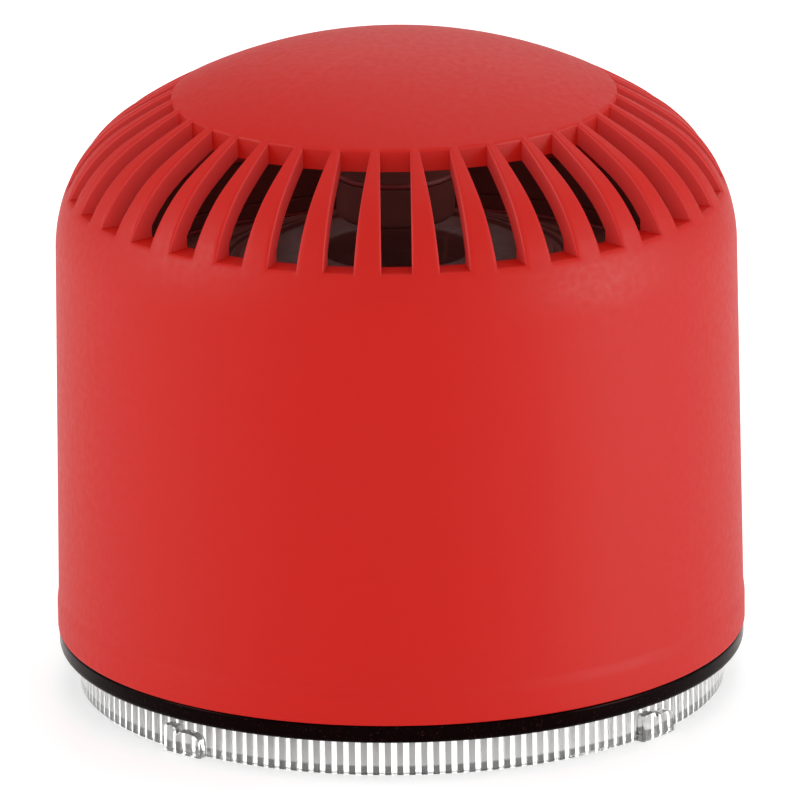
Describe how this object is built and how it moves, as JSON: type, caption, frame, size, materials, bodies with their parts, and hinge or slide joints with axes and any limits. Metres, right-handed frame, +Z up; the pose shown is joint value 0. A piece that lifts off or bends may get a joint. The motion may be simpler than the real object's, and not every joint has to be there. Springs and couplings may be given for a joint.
{
  "type": "alarm siren",
  "caption": "Round alarm siren module: red dome with a ring of sound slots over a horn, black seal and clear prismatic light ring with bayonet lugs.",
  "frame": {"origin": "middle of the lower rim of the light ring, the face the module stands on", "axes": "+Z up through the crown; -Y is the side with the contact block; +X is the side with the volume trimmer"},
  "size_m": [0.108, 0.108, 0.1026],
  "materials": {
    "red_plastic": "satin moulded red plastic",
    "black_rubber": "glossy black rubber",
    "red_silicone": "satin red silicone",
    "clear_plastic": "clear moulded plastic",
    "white_plastic": "matt white plastic",
    "black_plastic": "glossy black plastic",
    "dark_plastic": "matt black plastic",
    "circuit_board": "green board with a satin coat",
    "steel": "bright plated steel",
    "brass": "plated brass",
    "ferrite": "sintered dark grey",
    "aluminium": "extruded, natural",
    "copper_winding": "varnished winding",
    "chip_plastic": "moulded chip case",
    "diaphragm_film": "thin amber film",
    "led_case": "white case with a yellow window",
    "slider_white": "matt white",
    "lead_cover": "soft wire cover"
  },
  "bodies": {
    "siren_body": {"siren_housing": "red_plastic", "seal_collar": "black_rubber", "lens_ring": "clear_plastic", "led_reflector": "white_plastic", "base_plate": "dark_plastic", "base_screws": "steel", "contact_block": "black_plastic", "tone_switch_body": "chip_plastic", "volume_trimmer_body": "white_plastic", "main_board": "circuit_board", "board_screws": "steel", "smoothing_capacitors": "dark_plastic", "transformer_core": "ferrite", "output_transformer": "copper_winding", "heat_sink": "aluminium", "amplifier_chip": "chip_plastic", "controller_chip": "chip_plastic", "surface_parts": "chip_plastic", "board_connector": "slider_white", "board_header": "dark_plastic", "led_board": "circuit_board", "leds": "led_case", "inner_cage": "dark_plastic", "horn_bowl": "black_plastic", "horn_seal": "red_silicone", "sound_sleeve": "black_plastic", "sound_deflector": "black_plastic", "deflector_ring": "red_silicone", "deflector_screw": "steel", "phase_plug": "dark_plastic", "diaphragm_surround": "black_rubber", "driver_frame": "dark_plastic", "driver_screws": "steel", "driver_top_plate": "steel", "driver_magnet": "ferrite", "driver_yoke": "steel", "driver_terminals": "brass", "driver_leads": "lead_cover"},
    "diaphragm_unit": {"diaphragm": "diaphragm_film", "voice_coil": "copper_winding"},
    "trimmer_rotor": {"volume_trimmer_rotor": "brass"},
    "contact_pin_1_body": {"contact_pin_1": "brass"},
    "contact_pin_2_body": {"contact_pin_2": "brass"},
    "contact_pin_3_body": {"contact_pin_3": "brass"},
    "contact_pin_4_body": {"contact_pin_4": "brass"},
    "tone_switch_slider_1_body": {"tone_switch_slider_1": "slider_white"},
    "tone_switch_slider_2_body": {"tone_switch_slider_2": "slider_white"},
    "tone_switch_slider_3_body": {"tone_switch_slider_3": "slider_white"},
    "tone_switch_slider_4_body": {"tone_switch_slider_4": "slider_white"},
    "tone_switch_slider_5_body": {"tone_switch_slider_5": "slider_white"}
  },
  "joints": [
    {"name": "diaphragm_stroke", "type": "slide", "parent": "siren_body", "child": "diaphragm_unit", "axis": [0, 0, 1], "range_m": [-0.0004, 0.0004], "stiffness_N_per_m": 5000},
    {"name": "volume_trimmer_turn", "type": "hinge", "parent": "siren_body", "child": "trimmer_rotor", "pos_m": [0.024, 0, 0.0048], "axis": [0, 0, 1], "range_deg": [0, 270]},
    {"name": "tone_switch_slide_1", "type": "slide", "parent": "siren_body", "child": "tone_switch_slider_1_body", "axis": [1, 0, 0], "range_m": [0, 0.0016]},
    {"name": "tone_switch_slide_2", "type": "slide", "parent": "siren_body", "child": "tone_switch_slider_2_body", "axis": [1, 0, 0], "range_m": [0, 0.0016]},
    {"name": "tone_switch_slide_3", "type": "slide", "parent": "siren_body", "child": "tone_switch_slider_3_body", "axis": [1, 0, 0], "range_m": [0, 0.0016]},
    {"name": "tone_switch_slide_4", "type": "slide", "parent": "siren_body", "child": "tone_switch_slider_4_body", "axis": [1, 0, 0], "range_m": [0, 0.0016]},
    {"name": "tone_switch_slide_5", "type": "slide", "parent": "siren_body", "child": "tone_switch_slider_5_body", "axis": [1, 0, 0], "range_m": [0, 0.0016]},
    {"name": "contact_pin_press_1", "type": "slide", "parent": "siren_body", "child": "contact_pin_1_body", "axis": [0, 0, 1], "range_m": [0, 0.0012], "stiffness_N_per_m": 500},
    {"name": "contact_pin_press_2", "type": "slide", "parent": "siren_body", "child": "contact_pin_2_body", "axis": [0, 0, 1], "range_m": [0, 0.0012], "stiffness_N_per_m": 500},
    {"name": "contact_pin_press_3", "type": "slide", "parent": "siren_body", "child": "contact_pin_3_body", "axis": [0, 0, 1], "range_m": [0, 0.0012], "stiffness_N_per_m": 500},
    {"name": "contact_pin_press_4", "type": "slide", "parent": "siren_body", "child": "contact_pin_4_body", "axis": [0, 0, 1], "range_m": [0, 0.0012], "stiffness_N_per_m": 500}
  ]
}
